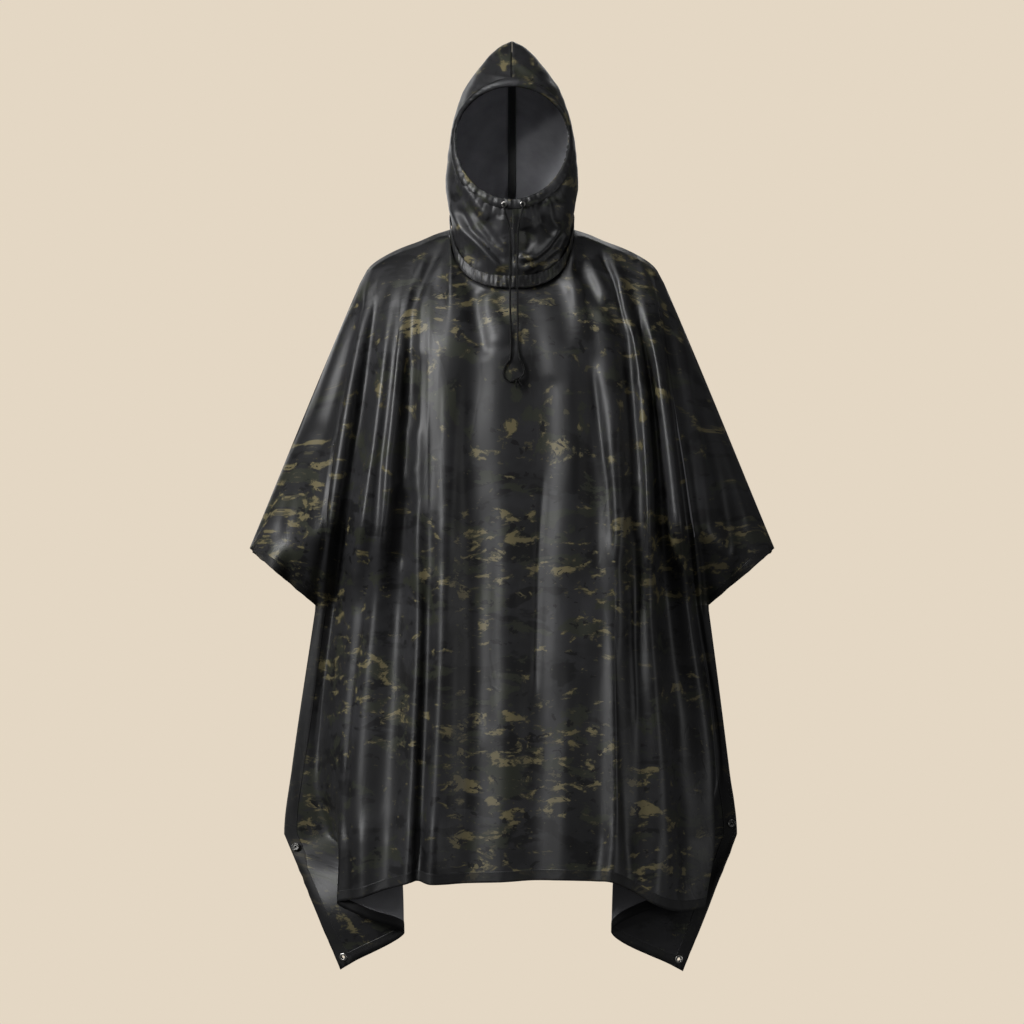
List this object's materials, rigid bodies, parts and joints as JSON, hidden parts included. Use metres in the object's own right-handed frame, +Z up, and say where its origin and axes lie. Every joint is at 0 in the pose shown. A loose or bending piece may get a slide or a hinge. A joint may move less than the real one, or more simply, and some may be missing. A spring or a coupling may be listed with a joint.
{
  "type": "rain poncho",
  "caption": "Hooded rain poncho in its worn shape: open hem and cuffs, hollow hood with a gathered face opening, gathered neck band, drawcord, side snaps and corner grommets.",
  "frame": {"origin": "between the wearer's shoulder points, at the height of the neck", "axes": "+Z up, the front of the poncho faces -Y, +X to the viewer's right as the front is seen"},
  "size_m": [0.896, 0.3905, 1.584],
  "materials": {
    "cloth": "satin",
    "tape": "satin",
    "cord": "matte",
    "metal": "satin"
  },
  "bodies": {
    "root": {"front_panel": "cloth", "back_panel": "cloth", "hood_left": "cloth", "hood_right": "cloth", "neck_band": "cloth", "face_casing": "cloth", "hood_seam_tape": "tape", "grommet_front_left": "metal", "grommet_front_right": "metal", "grommet_back_left": "metal", "grommet_back_right": "metal", "snap_front_left": "metal", "snap_front_right": "metal", "snap_back_left": "metal", "snap_back_right": "metal", "chin_eyelet_left": "metal", "chin_eyelet_right": "metal", "drawcord_left": "cord", "drawcord_right": "cord", "drawcord_knot": "cord"}
  },
  "joints": []
}
